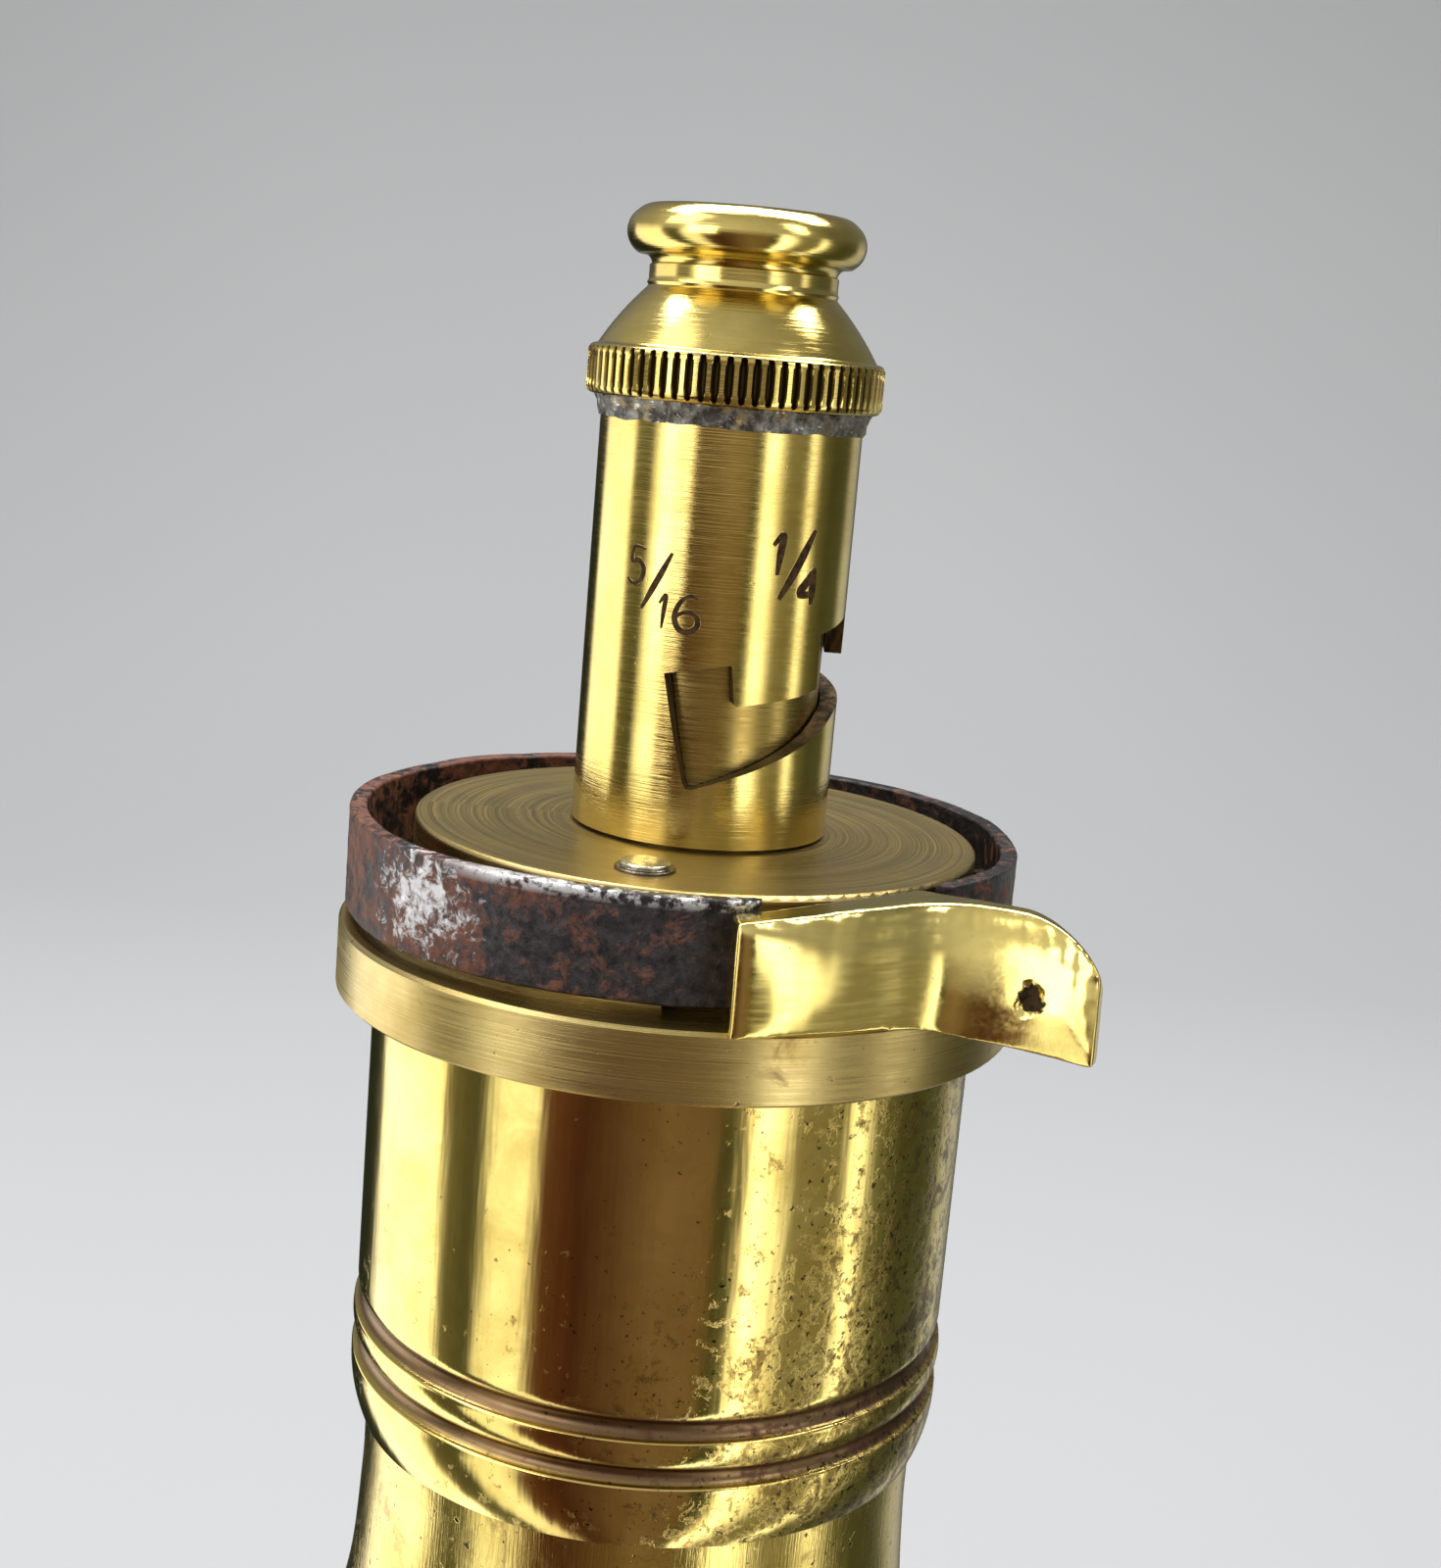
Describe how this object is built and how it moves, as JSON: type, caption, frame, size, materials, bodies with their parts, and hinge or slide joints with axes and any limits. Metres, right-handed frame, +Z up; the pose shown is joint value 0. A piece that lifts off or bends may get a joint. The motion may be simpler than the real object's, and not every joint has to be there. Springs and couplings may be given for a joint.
{
  "type": "powder flask with adjustable charger",
  "caption": "Small brass powder flask with a stamped two-shell body, turned head, spring cut-off lever and a slotted adjustable charger nozzle.",
  "frame": {"origin": "on the flask's axis, at the collar's top face where the head seats", "axes": "+Z up the flask's axis towards the nozzle, -Y the front where the pivot pin is, +X the side of the lever's thumb tail"},
  "size_m": [0.047, 0.0289, 0.115],
  "materials": {
    "brass_bright": "brushed, lightly tarnished",
    "brass_polished": "polished by wear",
    "brass_aged": "aged satin with scrape marks",
    "rusted_spring_steel": "rusted red-brown and blue-black with worn bright edge",
    "steel_pin": "worn steel",
    "soft_solder": "dull grey solder"
  },
  "bodies": {
    "flask": {"body_front_shell": "brass_aged", "body_back_shell": "brass_aged", "body_seam_solder": "soft_solder", "collar": "brass_bright", "collar_solder": "soft_solder", "collar_thread_ring": "brass_bright"},
    "head": {"head_base": "brass_bright", "top_boss": "brass_bright", "boss_rivets": "brass_bright", "pivot_pin": "steel_pin", "lever_spring": "rusted_spring_steel", "spring_peg": "steel_pin", "charger_tube": "brass_bright", "tube_solder": "soft_solder", "charger_lug": "brass_bright"},
    "cutoff_lever": {"cutoff_plate": "brass_bright", "thumb_lever": "brass_polished", "lever_rivets": "brass_bright"},
    "mouthpiece": {"charger_mouth": "brass_bright", "mouth_solder": "soft_solder"},
    "sleeve": {"charger_sleeve": "brass_bright"}
  },
  "joints": [
    {"name": "head_removal", "type": "slide", "parent": "flask", "child": "head", "axis": [0, 0, 1], "range_m": [0, 0.012]},
    {"name": "lever_swing", "type": "hinge", "parent": "head", "child": "cutoff_lever", "pos_m": [-0.0015, -0.0086, 0.003], "axis": [0, 0, 1], "range_deg": [-36, 0], "stiffness_Nm_per_rad": 0.01, "springref_deg": 28.65, "deforming": ["lever_spring"]},
    {"name": "charger_lift", "type": "slide", "parent": "head", "child": "mouthpiece", "axis": [0, 0, 1], "range_m": [0, 0.0034]},
    {"name": "charger_turn", "type": "hinge", "parent": "mouthpiece", "child": "sleeve", "pos_m": [0.0004, 0, 0.015], "axis": [0, 0, 1], "range_deg": [0, 156]}
  ],
  "couplings": [
    {"joint": "charger_turn", "follows": "charger_lift", "rad_per_m": 800}
  ]
}
